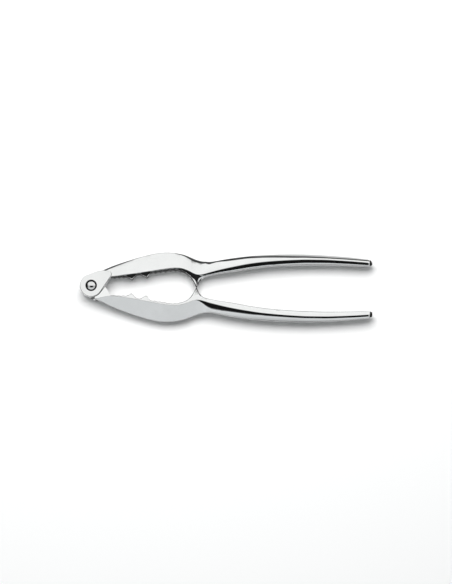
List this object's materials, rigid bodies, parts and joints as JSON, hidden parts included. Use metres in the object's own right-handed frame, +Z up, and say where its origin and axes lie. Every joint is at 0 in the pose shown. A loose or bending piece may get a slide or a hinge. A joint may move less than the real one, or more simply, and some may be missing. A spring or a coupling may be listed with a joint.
{
  "type": "nutcracker",
  "caption": "Hinged two-lever nutcracker with toothed jaws and long curved handles, polished chrome-plated casting, riveted at one end",
  "frame": {"origin": "centre of the underside of the bounding box, the tool lying flat and closed", "axes": "+X from the hinge to the handle tips, +Y towards the upper lever, +Z up out of the lever faces, along the rivet"},
  "size_m": [0.19, 0.0454, 0.01],
  "materials": {
    "plated_casting": "mirror-polished bright chrome plating over a zinc casting",
    "rivet_steel": "bright nickel-plated steel, slightly duller than the levers",
    "washer_steel": "plain turned steel"
  },
  "bodies": {
    "lower": {"lower_lever": "plated_casting", "hinge_rivet": "rivet_steel", "rivet_washer": "washer_steel", "friction_washer": "washer_steel"},
    "upper": {"upper_lever": "plated_casting"}
  },
  "joints": [
    {"name": "lever_hinge", "type": "hinge", "parent": "lower", "child": "upper", "pos_m": [-0.08765, 0, 0.005], "axis": [0, 0, 1], "range_deg": [0, 150]}
  ]
}
